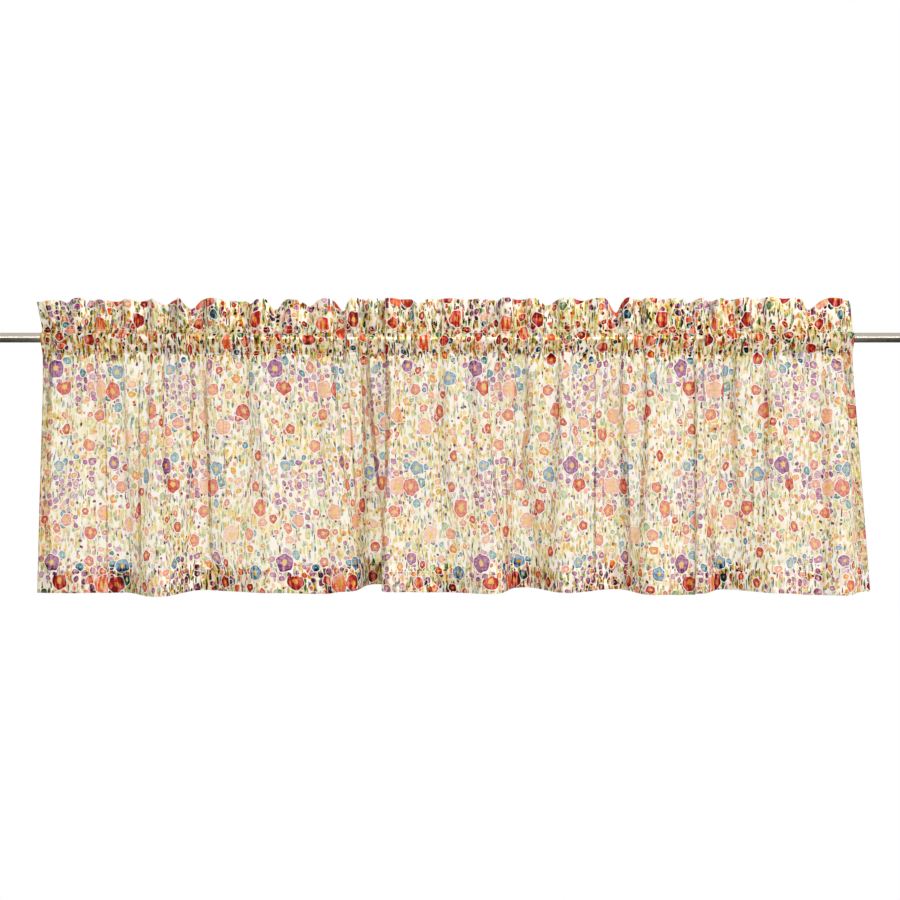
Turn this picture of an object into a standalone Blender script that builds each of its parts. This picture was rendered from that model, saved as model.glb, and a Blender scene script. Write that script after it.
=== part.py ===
"""Window valance gathered on a round curtain rod.

The valance is one rectangle of sheer cloth. Its top is turned over to the back and
sewn down with two seams: above the upper seam a double ruffle stands up, and between
the seams lies the tunnel that the rod runs through. Below the lower seam the cloth
hangs in uneven upright folds down to a turned-up hem. The cloth is one closed solid,
and the rod is another that the tunnel's roof rests on.

Frame: metres, +Z up, +X along the rod, -Y towards the room. The origin is the middle
of the rod's axis.
"""

import bmesh
import bpy
import numpy as np
from mathutils import Matrix

MM = 0.001

# Rod
ROD_RADIUS = 10.0 * MM
ROD_LENGTH = 2000.0 * MM
ROD_SIDES = 32

SHARP_EDGE = np.radians(50)   # edges over this angle stay sharp under smooth shading

# Heights of the cloth above the rod's axis
HEADING_TOP = 79.0 * MM
UPPER_SEAM = 16.0 * MM
LOWER_SEAM = -31.0 * MM
HEM_TURN = -471.0 * MM
HEM_EDGE = -514.0 * MM

# Thickness of one layer of the body and of the doubled ruffle and hem
SINGLE = 1.6 * MM
DOUBLE = 2.6 * MM

# Tunnel
SEAT_GAP = 0.3 * MM      # between the rod's top and the roof that rests on it
TUNNEL_SWAY = 3.5 * MM   # how far the gathers push the tunnel forward or back
TUNNEL_WALL = 1.6 * MM

# Gathers
GATHER_DEPTH = 24.0 * MM     # front to back, in the ruffle
GATHER_REST = 0.15           # share of the gathers that is left at the hem
FOLD_ONSET = 0.6             # power of the fall at which the folds take over from them
EDGE_SPLAY = (-11.0 * MM, -6.0 * MM)   # sideways lean of the ruffle's two top corners
SPLAY_REACH = 60.0 * MM
SHALLOW_DIP = 5.0 * MM       # a dip up to this is broad, and a deeper one is a narrow notch

# Each row is a fold line, the crest or the trough of a fold, from left to right. Troughs
# stand in the even rows and crests in the odd ones. Sizes are in millimetres:
#   at_rod, at_hem  its place along X at the rod and at the hem
#   depth           its place along Y at the hem, - towards the room
#   hem_lift        how far the hem stands above its nominal height there
#   gathers         half gathers at the rod between this line and the next, an odd number
#   dip             how far the ruffle's top edge drops there
#   dip_between     the same, at the trough of the gathers before the next line
FOLD_LINES = (
    (-819, -830, 4, -2, 3, 5, 7),
    (-742, -750, -20, 0, 3, 0, 0),
    (-676, -659, 16, -3, 3, 5, 4),
    (-601, -575, -56, -3, 3, 0, 13),
    (-520, -501, 42, -1, 3, 20, 2),
    (-419, -359, -26, 1, 3, 3, 9),
    (-352, -247, 4, -4, 1, 22, 0),
    (-312, -207, -12, 2, 3, 3, 12),
    (-211, -144, 88, 6, 3, 23, 4),
    (-124, -112, -30, 3, 3, 0, 1),
    (-60, -7, 14, -2, 3, 12, 0),
    (35, 85, -42, 1, 3, 1, 1),
    (122, 158, 64, 2, 3, 1, 12),
    (239, 241, -24, 1, 3, 0, 3),
    (342, 343, 34, 2, 3, 27, 0),
    (411, 407, -50, 0, 3, 0, 1),
    (488, 490, -12, -4, 1, 7, 0),
    (520, 501, -36, 1, 3, 0, 4),
    (570, 567, 38, 1, 3, 2, 1),
    (647, 661, -48, 3, 3, -2, 1),
    (724, 740, -16, -4, 1, 21, 0),
    (777, 782, -50, -1, 1, 0, 0),
    (819, 855, 4, 1, 0, 3, 0),
)

# Each row is a level of the cloth's two outer faces, from the ruffle's top to the hem:
#   height      above the rod's axis
#   half_thick  half the cloth's thickness, across the cloth
#   stand_off   how far the tunnel's wall stands from the cloth's middle, along Y
#   sway        share of the gathers' full depth
ROOF_HALF = (ROD_RADIUS + SEAT_GAP) * np.tan(np.pi / 8)
TUNNEL_HALF = ROD_RADIUS + SEAT_GAP + TUNNEL_SWAY
SEAM_SWAY = 2.0 * TUNNEL_SWAY / GATHER_DEPTH
OUTER_LEVELS = (
    (HEADING_TOP, DOUBLE / 2, 0.0, 1.10),
    (57.0 * MM, DOUBLE / 2, 0.0, 0.90),
    (35.0 * MM, DOUBLE / 2, 0.0, 0.60),
    (UPPER_SEAM, 0.0, DOUBLE / 2, SEAM_SWAY),
    (ROD_RADIUS + SEAT_GAP + TUNNEL_WALL, 0.0, ROOF_HALF + TUNNEL_SWAY + TUNNEL_WALL, SEAM_SWAY),
    (ROOF_HALF + TUNNEL_WALL / 2, 0.0, TUNNEL_HALF + TUNNEL_WALL, SEAM_SWAY),
    (-ROOF_HALF, 0.0, TUNNEL_HALF + TUNNEL_WALL, SEAM_SWAY),
    (LOWER_SEAM, 0.0, DOUBLE / 2, SEAM_SWAY),
    (-58.0 * MM, SINGLE / 2, 0.0, 0.65),
    (-100.0 * MM, SINGLE / 2, 0.0, 1.0),
    (-160.0 * MM, SINGLE / 2, 0.0, 1.0),
    (-230.0 * MM, SINGLE / 2, 0.0, 1.0),
    (-310.0 * MM, SINGLE / 2, 0.0, 1.0),
    (-390.0 * MM, SINGLE / 2, 0.0, 1.0),
    (HEM_TURN, SINGLE / 2, 0.0, 1.0),
    (HEM_TURN - 5.0 * MM, DOUBLE / 2, 0.0, 1.0),
    (HEM_EDGE, DOUBLE / 2, 0.0, 1.0),
)
FIRST_TUNNEL_LEVEL = 4
LAST_TUNNEL_LEVEL = 6

# Each row is a level of the tunnel's inner face: height and distance from the middle
INNER_LEVELS = (
    (ROD_RADIUS + SEAT_GAP, ROOF_HALF + TUNNEL_SWAY),
    (ROOF_HALF, TUNNEL_HALF),
    (-ROOF_HALF, TUNNEL_HALF),
    (-27.5 * MM, 0.0),
)

# Columns of the cloth's grid along each half gather, and steps that its curve is summed in
COLUMNS_PER_GATHER = 2
LEAST_COLUMNS = 4
STEPS_PER_COLUMN = 10

# Tables for the bend of a half fold, whose cloth turns away by bend * sin(pi * s) as s
# goes from 0 to 1: the width and the depth that one unit of cloth then covers
BENDS = np.linspace(0.0, 2.4, 241)
TURNS = np.outer(BENDS, np.sin(np.linspace(0.0, np.pi, 181)))
WIDTH_OF_BEND = np.cos(TURNS).mean(axis=1)
DEPTH_OF_BEND = np.sin(TURNS).mean(axis=1)


def clear_scene():
    """Remove the objects that the file opened with."""
    for obj in list(bpy.data.objects):
        bpy.data.objects.remove(obj, do_unlink=True)


def principled(name, colour, roughness, metallic=0.0):
    """Return a plain material with the given linear colour."""
    material = bpy.data.materials.new(name)
    material.use_nodes = True
    shader = material.node_tree.nodes["Principled BSDF"]
    shader.inputs["Base Color"].default_value = (*colour, 1.0)
    shader.inputs["Roughness"].default_value = roughness
    shader.inputs["Metallic"].default_value = metallic
    return material


def smooth_between(values, fold, s):
    """Ease a value from each fold line to the next: flat at the lines, half a cosine between."""
    ease = (1.0 - np.cos(np.pi * s)) / 2.0
    return values[fold] + (values[fold + 1] - values[fold]) * ease


class GatheredCloth:
    """The cloth's middle surface, as a curve along X and Y at every height."""

    def __init__(self):
        table = np.array(FOLD_LINES, dtype=float)
        self.at_rod, self.at_hem, self.depth, self.hem_lift = table[:, :4].T * MM
        self.dip, self.dip_between = table[:, 5:].T * MM
        self.gathers = table[:-1, 4].astype(int)
        trough = np.arange(len(table)) % 2 == 0
        self.gather_side = np.where(trough, 0.5, -0.5) * GATHER_DEPTH

        # Cloth in each half fold, and its bend at the hem and at the rod
        width = np.diff(self.at_hem)
        depth = np.diff(self.depth)
        slope = np.arctan2(np.abs(depth), width)
        hem_bend = np.interp(slope, np.arctan2(DEPTH_OF_BEND, WIDTH_OF_BEND), BENDS)
        spread = np.hypot(np.interp(hem_bend, BENDS, WIDTH_OF_BEND),
                          np.interp(hem_bend, BENDS, DEPTH_OF_BEND))
        self.cloth = np.hypot(width, depth) / spread
        rod_share = np.diff(self.at_rod) / self.cloth
        rod_bend = np.interp(rod_share, WIDTH_OF_BEND[::-1], BENDS[::-1])

        # Steps along the cloth: the half fold that each is in, and its place there
        columns = np.maximum(COLUMNS_PER_GATHER * self.gathers, LEAST_COLUMNS)
        steps = columns * STEPS_PER_COLUMN
        self.fold = np.repeat(np.arange(len(steps)), steps)
        start = np.repeat(np.cumsum(steps) - steps, steps)
        self.s = (np.arange(steps.sum()) - start) / steps[self.fold]
        self.fold = np.append(self.fold, len(steps) - 1)
        self.s = np.append(self.s, 1.0)
        self.step = np.repeat(self.cloth / steps, steps)
        self.lines = np.append(0, np.cumsum(steps))

        # The tangent turns one way from a crest to a trough, and the other way back
        turn = np.where(trough[:-1], -1.0, 1.0)[self.fold]
        self.fold_turn = turn * hem_bend[self.fold] * np.sin(np.pi * self.s)
        waves = self.gathers[self.fold] * self.s
        self.gather_turn = turn * rod_bend[self.fold] * np.sin(np.pi * waves)

    def curve(self, height, sway):
        """Middle of the cloth at a height: X, Y and the direction across the cloth.

        The tangent's angle is a share of the folds' turn plus a share of the gathers'
        turn; its cosine and sine are summed along the cloth. What is left between the
        sums and the fold lines' own places is eased in between the lines.
        """
        fall = np.clip((LOWER_SEAM - height) / (LOWER_SEAM - HEM_EDGE), 0.0, 1.0)
        fold_share = np.sin(np.pi / 2 * fall ** FOLD_ONSET)
        gather_share = max(np.sqrt(1.0 - fold_share ** 2), GATHER_REST)
        angle = fold_share * self.fold_turn + gather_share * self.gather_turn
        middle = (angle[1:] + angle[:-1]) / 2
        x = np.append(0.0, np.cumsum(np.cos(middle) * self.step))
        y = np.append(0.0, np.cumsum(np.sin(middle) * self.step))
        line_x = self.at_rod + (self.at_hem - self.at_rod) * fall
        line_y = self.gather_side + (self.depth - self.gather_side) * fold_share
        x += smooth_between(line_x - x[self.lines], self.fold, self.s)
        y += smooth_between(line_y - y[self.lines], self.fold, self.s)
        y *= sway
        if LOWER_SEAM <= height <= UPPER_SEAM:
            y = np.clip(y, -TUNNEL_SWAY, TUNNEL_SWAY)
        rise = np.clip((height - UPPER_SEAM) / (HEADING_TOP - UPPER_SEAM), 0.0, 1.0)
        x += EDGE_SPLAY[0] * rise * np.exp(-(x - x[0]) / SPLAY_REACH)
        x += EDGE_SPLAY[1] * rise * np.exp(-(x[-1] - x) / SPLAY_REACH)
        across = np.stack((-np.gradient(y), np.gradient(x)))
        across /= np.hypot(*across)
        return x, y, across

    def heading_dip(self):
        """Drop of the ruffle's top edge: a narrow bell at each trough of the gathers."""
        notch = np.where(self.dip > SHALLOW_DIP, self.dip, 0.0)
        drop = smooth_between(self.dip - notch, self.fold, self.s)
        reach = 1.0 / self.gathers[self.fold]
        at_start = np.clip(self.s / reach, 0.0, 1.0)
        at_end = np.clip((1.0 - self.s) / reach, 0.0, 1.0)
        drop += notch[self.fold] * np.cos(np.pi / 2 * at_start) ** 4
        drop += notch[self.fold + 1] * np.cos(np.pi / 2 * at_end) ** 4
        to_trough = self.fold % 2 == 1
        place = np.where(to_trough, reach, 1.0 - reach)
        from_place = np.clip(np.abs(self.s - place) / reach, 0.0, 1.0)
        drop += self.dip_between[self.fold] * np.cos(np.pi / 2 * from_place) ** 4
        return drop

    def height(self, level):
        """Height of a level along the cloth, with the heading's dips and the hem's lifts."""
        if level > UPPER_SEAM:
            share = (level - UPPER_SEAM) / (HEADING_TOP - UPPER_SEAM)
            return level - share * self.heading_dip()
        fall = np.clip((LOWER_SEAM - level) / (LOWER_SEAM - HEM_EDGE), 0.0, 1.0)
        return level + fall * smooth_between(self.hem_lift, self.fold, self.s)

    def face(self, level, half_thick, stand_off, sway, side):
        """Points of one face of the cloth at a level; side is -1 in front and 1 behind."""
        x, y, across = self.curve(level, sway)
        x = x + side * half_thick * across[0]
        y = y + side * (half_thick * across[1] + stand_off)
        points = np.stack((x, y, self.height(level)), axis=1)
        return points[::STEPS_PER_COLUMN]


def closed_mesh(name, points, faces):
    """Make a smooth mesh from rings of points, with its faces turned outwards."""
    mesh = bpy.data.meshes.new(name)
    mesh.from_pydata(points.reshape(-1, 3).tolist(), [], faces)
    work = bmesh.new()
    work.from_mesh(mesh)
    bmesh.ops.recalc_face_normals(work, faces=work.faces)
    work.to_mesh(mesh)
    work.free()
    mesh.shade_smooth()
    mesh.set_sharp_from_angle(angle=SHARP_EDGE)
    return mesh


def tube_faces(first, rings, columns):
    """Triangles of a closed tube of rings that go down in front and come up behind.

    Both faces of the cloth are split along the same diagonals, down and to the right, so
    that the wall between them keeps its thickness where the cloth twists.
    """
    faces = []
    for ring in range(rings):
        here = first + ring * columns
        beyond = first + (ring + 1) % rings * columns
        for column in range(columns - 1):
            a, b = here + column, here + column + 1
            c, d = beyond + column + 1, beyond + column
            if ring < rings // 2:
                faces += [(a, b, c), (a, c, d)]
            else:
                faces += [(a, b, d), (b, c, d)]
    return faces


def end_faces(levels, inner_levels, columns, column):
    """Faces that close one side edge of the cloth around the tunnel's mouth."""
    def front(level):
        return level * columns + column

    def back(level):
        return (2 * levels - 1 - level) * columns + column

    inner = 2 * levels * columns + column
    below = inner + (inner_levels - 1) * columns

    def front_inner(level):
        return inner + level * columns

    def back_inner(level):
        return inner + (2 * inner_levels - 2 - level) * columns

    above = FIRST_TUNNEL_LEVEL - 1
    under = LAST_TUNNEL_LEVEL + 1
    faces = []
    for level in list(range(above)) + list(range(under, levels - 1)):
        faces.append((front(level), front(level + 1), back(level + 1), back(level)))
    faces.append((front(above), front_inner(0), back_inner(0), back(above)))
    faces.append((front(under), below, back(under)))
    for outer, wall in ((front, front_inner), (back, back_inner)):
        faces.append((outer(above), outer(FIRST_TUNNEL_LEVEL), wall(0)))
        for step in range(inner_levels - 1):
            level = FIRST_TUNNEL_LEVEL + step
            faces.append((outer(level), outer(level + 1), wall(step + 1), wall(step)))
    return faces


def make_valance():
    """One solid: two outer faces from the ruffle to the hem, and the tunnel inside them."""
    cloth = GatheredCloth()
    front = [cloth.face(*level, side=-1) for level in OUTER_LEVELS]
    back = [cloth.face(*level, side=1) for level in OUTER_LEVELS]
    inner_front = [cloth.face(height, 0.0, half, SEAM_SWAY, side=-1) for height, half in INNER_LEVELS]
    inner_back = [cloth.face(height, 0.0, half, SEAM_SWAY, side=1) for height, half in INNER_LEVELS[:-1]]
    outer_rings = front + back[::-1]
    inner_rings = inner_front + inner_back[::-1]
    points = np.array(outer_rings + inner_rings)
    columns = points.shape[1]
    faces = tube_faces(0, len(outer_rings), columns)
    faces += tube_faces(len(outer_rings) * columns, len(inner_rings), columns)
    for column in (0, columns - 1):
        faces += end_faces(len(OUTER_LEVELS), len(INNER_LEVELS), columns, column)
    valance = bpy.data.objects.new("valance", closed_mesh("valance", points, faces))
    valance.data.materials.append(principled("sheer_cloth", (0.72, 0.60, 0.48), 0.85))
    bpy.context.collection.objects.link(valance)
    return valance


def make_rod():
    """A plain round rod along X with flat ends."""
    mesh = bpy.data.meshes.new("curtain_rod")
    work = bmesh.new()
    bmesh.ops.create_cone(work, cap_ends=True, segments=ROD_SIDES, radius1=ROD_RADIUS,
                          radius2=ROD_RADIUS, depth=ROD_LENGTH,
                          matrix=Matrix.Rotation(np.pi / 2, 4, "Y"))
    work.to_mesh(mesh)
    work.free()
    mesh.shade_smooth()
    mesh.set_sharp_from_angle(angle=SHARP_EDGE)
    rod = bpy.data.objects.new("curtain_rod", mesh)
    rod.data.materials.append(principled("satin_steel", (0.48, 0.45, 0.40), 0.35, metallic=1.0))
    bpy.context.collection.objects.link(rod)
    return rod


clear_scene()
make_valance()
make_rod()
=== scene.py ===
"""Window valance of printed voile, gathered on a satin nickel rod.

The file is laid out as a Blender add-on and is run as a script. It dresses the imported
solids: the cloth with its fine folds, layers and print, its stitching, and the rod.

Frame: metres, +Z up, +X along the rod, -Y towards the room. The origin is the middle
of the rod's axis.
"""

import math

import bpy
import numpy as np
from bpy.props import FloatProperty, FloatVectorProperty, IntProperty, PointerProperty
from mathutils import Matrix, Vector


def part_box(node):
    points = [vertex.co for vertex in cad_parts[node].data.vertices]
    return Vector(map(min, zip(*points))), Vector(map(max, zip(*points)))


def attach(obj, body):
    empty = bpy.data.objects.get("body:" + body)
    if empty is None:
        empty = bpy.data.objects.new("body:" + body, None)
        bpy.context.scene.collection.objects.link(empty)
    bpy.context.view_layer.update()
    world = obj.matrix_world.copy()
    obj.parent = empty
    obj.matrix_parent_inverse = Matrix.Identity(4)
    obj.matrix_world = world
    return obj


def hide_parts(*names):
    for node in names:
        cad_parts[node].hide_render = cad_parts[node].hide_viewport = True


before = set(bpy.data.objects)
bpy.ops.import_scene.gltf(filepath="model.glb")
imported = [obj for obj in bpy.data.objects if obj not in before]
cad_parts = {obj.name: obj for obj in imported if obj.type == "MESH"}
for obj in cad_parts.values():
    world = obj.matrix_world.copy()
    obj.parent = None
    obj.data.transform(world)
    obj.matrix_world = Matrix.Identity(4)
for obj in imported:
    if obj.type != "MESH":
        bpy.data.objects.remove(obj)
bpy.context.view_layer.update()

bl_info = {
    "name": "Window Valance",
    "version": (1, 0, 0),
    "blender": (4, 5, 0),
    "location": "View3D > Sidebar > Valance",
    "description": "Makes a printed voile valance on its rod, with a plain studio",
    "category": "Object",
}

MM = 0.001
WHITE = (1.0, 1.0, 1.0, 1.0)
CARD_REACH = 1.6             # metres from the rod to the cards that only its reflections see

ROD_LOW, ROD_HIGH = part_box("curtain_rod")

# Each row is a fold line of the hanging cloth, a trough in the even rows and a crest in
# the odd ones, from left to right, in millimetres: its place along X at the ruffle's edge
# and at the hem, its place along Y at the hem, the hem's lift there, half gathers at the
# rod up to the next line, the drop of the ruffle's edge there, and the drop in between.
FOLD_LINES = (
    (-819, -830, 4, -2, 3, 5, 7),
    (-742, -750, -20, 0, 3, 0, 0),
    (-676, -659, 16, -3, 3, 5, 4),
    (-601, -575, -56, -3, 3, 0, 13),
    (-520, -501, 42, -1, 3, 20, 2),
    (-419, -359, -26, 1, 3, 3, 9),
    (-352, -247, 4, -4, 1, 22, 0),
    (-312, -207, -12, 2, 3, 3, 12),
    (-211, -144, 88, 6, 3, 23, 4),
    (-124, -112, -30, 3, 3, 0, 1),
    (-60, -7, 14, -2, 3, 12, 0),
    (35, 85, -42, 1, 3, 1, 1),
    (122, 158, 64, 2, 3, 1, 12),
    (239, 241, -24, 1, 3, 0, 3),
    (342, 343, 34, 2, 3, 27, 0),
    (411, 407, -50, 0, 3, 0, 1),
    (488, 490, -12, -4, 1, 7, 0),
    (520, 501, -36, 1, 3, 0, 4),
    (570, 567, 38, 1, 3, 2, 1),
    (647, 661, -48, 3, 3, -2, 1),
    (731, 740, -16, -4, 1, 21, 0),
    (777, 782, -50, -1, 1, 0, 0),
    (819, 855, 4, 1, 0, 3, 0),
)

# Sharp creases where the cloth doubles back on itself for a few millimetres, from left
# to right: place along X half way down, the heights between which it runs, and how far
# it turns, in radians.
CREASES = (
    (-692, -90, -500, 2.2),
    (-619, -50, -490, 2.5),
    (-486, -75, -470, 2.3),
    (-445, -50, -330, 2.0),
    (-374, -135, -350, 1.8),
    (-191, -75, -505, 2.7),
    (-17, -80, -410, 2.2),
    (23, -85, -270, 1.6),
    (117, -215, -490, 2.0),
    (158, -185, -330, 1.8),
    (183, -75, -170, 1.7),
    (297, -45, -505, 2.5),
    (369, -185, -460, 1.9),
    (421, -60, -130, 1.7),
    (536, -330, -490, 1.9),
    (615, -155, -380, 2.0),
    (684, -230, -380, 1.6),
)
CREASE_HALF = 3.4 * MM       # cloth on each side of a crease's middle
CREASE_FADE = 45.0 * MM      # height over which a crease dies away
FINER_REACH = 1.8            # cloth with finer steps on each side of one, in CREASE_HALF
FINER_BY = 1.6               # how many more steps it has there, as a share
SHALLOW_DIP = 5.0 * MM       # a dip up to this is broad, and a deeper one is a narrow notch
EDGE_SPLAY = (-15.0 * MM, -1.0 * MM)   # sideways lean of the ruffle's two top corners
SPLAY_REACH = 60.0 * MM

# Share of the way from its hem place to its edge place that each fold line stands at the rod
ROD_SHIFT = np.array([1.0, 0.8, 0.6] + 17 * [0.35] + [0.6, 0.8, 1.0])

# Share of the gathers' full depth at heights above the rod's axis, from the hem up
SWAY_HEIGHTS = np.array((-514, -100, -58, -31, 16, 35, 57, 79)) * MM
SWAY_SHARES = np.array((1.0, 1.0, 0.65, 0.2917, 0.2917, 0.60, 0.90, 1.10))
GATHER_REST = 0.15           # share of the gathers that is left at the hem
FOLD_ONSET = 0.6             # power of the fall at which the folds take over from them

ROOF_SHARE = 0.9             # share of the rod's height over which the cloth lies on it
PUCKER_FADE = 28.0 * MM      # distance from a seam over which its puckers die away
SOFT_CREASE = 2.5 * MM       # depth of the soft creases in the hanging cloth
SOFT_CREASE_END = 0.625      # share of the drop at which they end
SAG_REACH = 16.0 * MM        # distance from a seam over which its unevenness dies away

# Darker print where the cloth is bunched in pleats too fine for the mesh: the dye of more layers, and
# painted shade
RUFFLE_OPENS = 110.0 * MM    # height over which it falls off above the upper seam
BODY_OPENS = 8.0 * MM        # and below the lower seam
SEAM_BULGE, SEAM_BULGE_REACH = 0.5, 9.0 * MM   # more of it round the lower seam
# In the hem, painted shade: more of it in the folds' troughs, which lie back from the room, than on their
# crests
HEM_BUNCH = 0.75             # in the hem, where this share of it goes to the troughs:
TROUGH_SHADE_SHARE, TROUGH_SHADE_DEPTH = 0.8, 20.0 * MM

# Share of the weave's gaps that the threads of the layer behind close
CLOSED_IN_HEADING = (0.33, 0.44)   # at the upper seam, and from this height above it:
RUFFLE_RISE = 45.0 * MM
CLOSED_IN_HEM = 0.37

SUBSTEPS = 4                 # steps that the cloth's curve is summed in, to one column
PLY = 0.45 * MM              # distance between two layers that lie on each other
SIDE_HEM_PLY = 0.6 * PLY     # distance of the side hems from the cloth that they are behind
LARGEST_TURN = 2.8           # radians that the cloth's tangent stays within

# Tables for the bend of a half fold, whose cloth turns away by bend * sin(pi * s) as s
# goes from 0 to 1: the width and the depth that one unit of cloth then covers
BENDS = np.linspace(0.0, 2.4, 241)
TURNS = np.outer(BENDS, np.sin(np.linspace(0.0, np.pi, 181)))
WIDTH_OF_BEND = np.cos(TURNS).mean(axis=1)
DEPTH_OF_BEND = np.sin(TURNS).mean(axis=1)


def linear(hex_colour):
    """Turn an sRGB hex colour into linear red, green, blue and a full alpha."""
    srgb = [int(hex_colour[i:i + 2], 16) / 255 for i in (1, 3, 5)]
    return tuple(c / 12.92 if c <= 0.04045 else ((c + 0.055) / 1.055) ** 2.4 for c in srgb) + (1.0,)


def length(name, millimetres, description):
    """A length property whose default is in millimetres."""
    return FloatProperty(name=name, description=description, default=millimetres * MM,
                         unit="LENGTH", precision=4)


def colour(name, hex_colour, description):
    """A colour property whose default is an sRGB hex colour."""
    return FloatVectorProperty(name=name, description=description, subtype="COLOR", size=4,
                               min=0.0, max=1.0, default=linear(hex_colour))


class ClothSizes(bpy.types.PropertyGroup):
    """Sizes of the valance's cloth; heights are above the rod's axis."""
    heading_top: length("Ruffle top", 79.0, "Height of the ruffle's folded edge")
    upper_seam: length("Upper seam", 16.0, "Height of the seam above the rod")
    lower_seam: length("Lower seam", -31.0, "Height of the seam under the rod")
    hem_turn: length("Hem top", -471.0, "Height of the hem's turned-in edge")
    hem_edge: length("Hem edge", -514.0, "Height of the cloth's lower edge")
    side_hem: length("Side hem", 27.0, "Width of the cloth turned behind at each side")
    turn_in: length("Turn-in", 4.0, "Width of the raw edge turned in under each hem")
    facing_turn_in: length("Tunnel turn-in", 6.0, "Raw edge turned in at the lower seam")
    gather_depth: length("Gather depth", 24.0, "Depth of the gathers, front to back")
    tunnel_sway: length("Tunnel sway", 3.5, "How far the gathers push the tunnel's wall")
    seat_gap: length("Seat gap", 0.7, "Cloth's clearance over the top of the rod")
    pucker: length("Pucker depth", 2.2, "Depth of the fine puckers at the seams")
    column_pitch: length("Column pitch", 3.0, "Cloth between two columns of the mesh")
    stitch_pitch: length("Stitch pitch", 3.2, "Distance between two stitches")


class PrintInks(bpy.types.PropertyGroup):
    """Colours of the cloth, of its sewing thread and of the print's inks."""
    cloth: colour("Cloth", "#F4EEE2", "Ivory yarn that the print is on")
    thread: colour("Thread", "#F4EEDC", "Sewing thread")
    bare: colour("Bare", "#FFFFFF", "No dye")
    butter: colour("Butter", "#F4EBC0", "Pale dabs")
    coral: colour("Coral", "#E28172", "Large blossoms")
    red: colour("Red", "#CE5952", "Large and small blossoms")
    orange: colour("Orange", "#E9934C", "Small blossoms and dots")
    peach: colour("Peach", "#F2AE94", "Blossoms")
    purple: colour("Purple", "#9C6192", "Large blossoms")
    plum: colour("Plum", "#5F1F50", "Dots")
    mauve: colour("Mauve", "#BA7BA6", "Berries")
    teal: colour("Teal", "#5B8C9A", "Leaves")
    blue: colour("Blue", "#6A90B2", "Leaves and dabs")
    navy: colour("Navy", "#35506E", "Thin dabs")
    moss: colour("Moss", "#7A7E44", "Thin dabs")
    ice: colour("Ice", "#D2E6EF", "Pale dabs")
    sage: colour("Sage", "#AEC292", "Dabs")
    lime: colour("Lime", "#DBDDA0", "Dabs")
    yellow: colour("Yellow", "#F4DA86", "Dabs and blossom centres")
    ochre: colour("Ochre", "#E3AC40", "Dots and dabs")
    blush: colour("Blush", "#F0C4B8", "Pale dabs")
    lilac: colour("Lilac", "#CFC2D6", "Dabs")


class RodSizes(bpy.types.PropertyGroup):
    """Sizes and finish of the rod."""
    radius: length("Radius", (ROD_HIGH.z - ROD_LOW.z) / 2 / MM, "Radius of the rod")
    length: length("Length", (ROD_HIGH.x - ROD_LOW.x) / MM, "Length of the rod")
    edge: length("Eased edge", 0.8, "Radius of the rounded edge at each end")
    sides: IntProperty(name="Sides", description="Faces around the rod", default=64, min=16)
    nickel: colour("Nickel", "#D2CBBC", "Colour of the plating")


class StudioSettings(bpy.types.PropertyGroup):
    """Camera, lights and floor."""
    distance: length("Camera distance", 2400.0, "From the camera to the rod's axis")
    camera_x: length("Camera X", 5.0, "Camera's place along the rod")
    camera_z: length("Camera height", -227.0, "Camera's height above the rod's axis")
    frame_width: length("Frame width", 1818.0, "Width seen at the rod's distance")
    floor_drop: length("Floor", 2150.0, "How far the floor lies under the rod")
    floor_size: length("Floor size", 4600.0, "Side of the square floor")
    ambient: FloatProperty(name="Ambient", description="Strength of the room's light", default=0.735)
    key: FloatProperty(name="Key", description="Power of the main light", default=85.0, unit="POWER")
    strip: FloatProperty(name="Strip", description="Power of the strip light", default=34.0,
                         unit="POWER")
    glint: FloatProperty(name="Glint", description="Power of the lamp that only the rod mirrors",
                         default=110.0, unit="POWER")
    # The bright cards glow by themselves: painted light that only the rod's reflections see
    card: FloatProperty(name="Card", description="Brightness of the cards round the rod", default=1.0)
    floor: colour("Floor colour", "#F1EFEA", "Pale floor")
    flag: colour("Flag colour", "#140F0B", "Dark cards that only reflections see")


# ---------------------------------------------------------------- nodes and meshes


def add(tree, kind, inputs=None, **settings):
    """Add a shader node, set its properties, and set or link its inputs by name or number.

    An input is given a value, a socket, or a node, which stands for its first output.
    """
    node = tree.nodes.new(kind if kind.startswith("NodeGroup") else "ShaderNode" + kind)
    for name, value in settings.items():
        setattr(node, name, value)
    for name, value in (inputs or {}).items():
        if isinstance(value, bpy.types.Node):
            value = value.outputs[0]
        if isinstance(value, bpy.types.NodeSocket):
            tree.links.new(value, node.inputs[name])
        else:
            node.inputs[name].default_value = value
    return node


def new_material(name):
    """Return an empty material and its node tree."""
    material = bpy.data.materials.new(name)
    material.use_nodes = True
    material.node_tree.nodes.clear()
    return material, material.node_tree


def grid_faces(rows, columns, closed=False):
    """Quads of a grid of points as one index array; the last column meets the first if closed."""
    i, j = np.meshgrid(np.arange(rows - 1), np.arange(columns if closed else columns - 1), indexing="ij")
    below, right = i + 1, (j + 1) % columns
    quads = np.stack((i * columns + j, below * columns + j,
                      below * columns + right, i * columns + right), axis=-1)
    return quads.reshape(-1, 4)


def make_object(name, points, faces, material, uv=None, **values):
    """Make a smooth mesh object from arrays of points and faces, with a UV and values per point."""
    mesh = bpy.data.meshes.new(name)
    mesh.from_pydata(np.asarray(points).reshape(-1, 3).tolist(), [], [tuple(f) for f in faces])
    if uv is not None:
        corner = np.empty(len(mesh.loops), dtype=np.int32)
        mesh.loops.foreach_get("vertex_index", corner)
        layer = mesh.uv_layers.new(name="flat_cloth")
        layer.uv.foreach_set("vector", uv.reshape(-1, 2)[corner].astype(np.float32).ravel())
    for label, value in values.items():
        mesh.attributes.new(label, "FLOAT", "POINT").data.foreach_set("value", value.ravel())
    mesh.materials.append(material)
    mesh.shade_smooth()
    piece = bpy.data.objects.new(name, mesh)
    bpy.context.scene.collection.objects.link(piece)
    return piece


# ---------------------------------------------------------------- the cloth's shape


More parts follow.
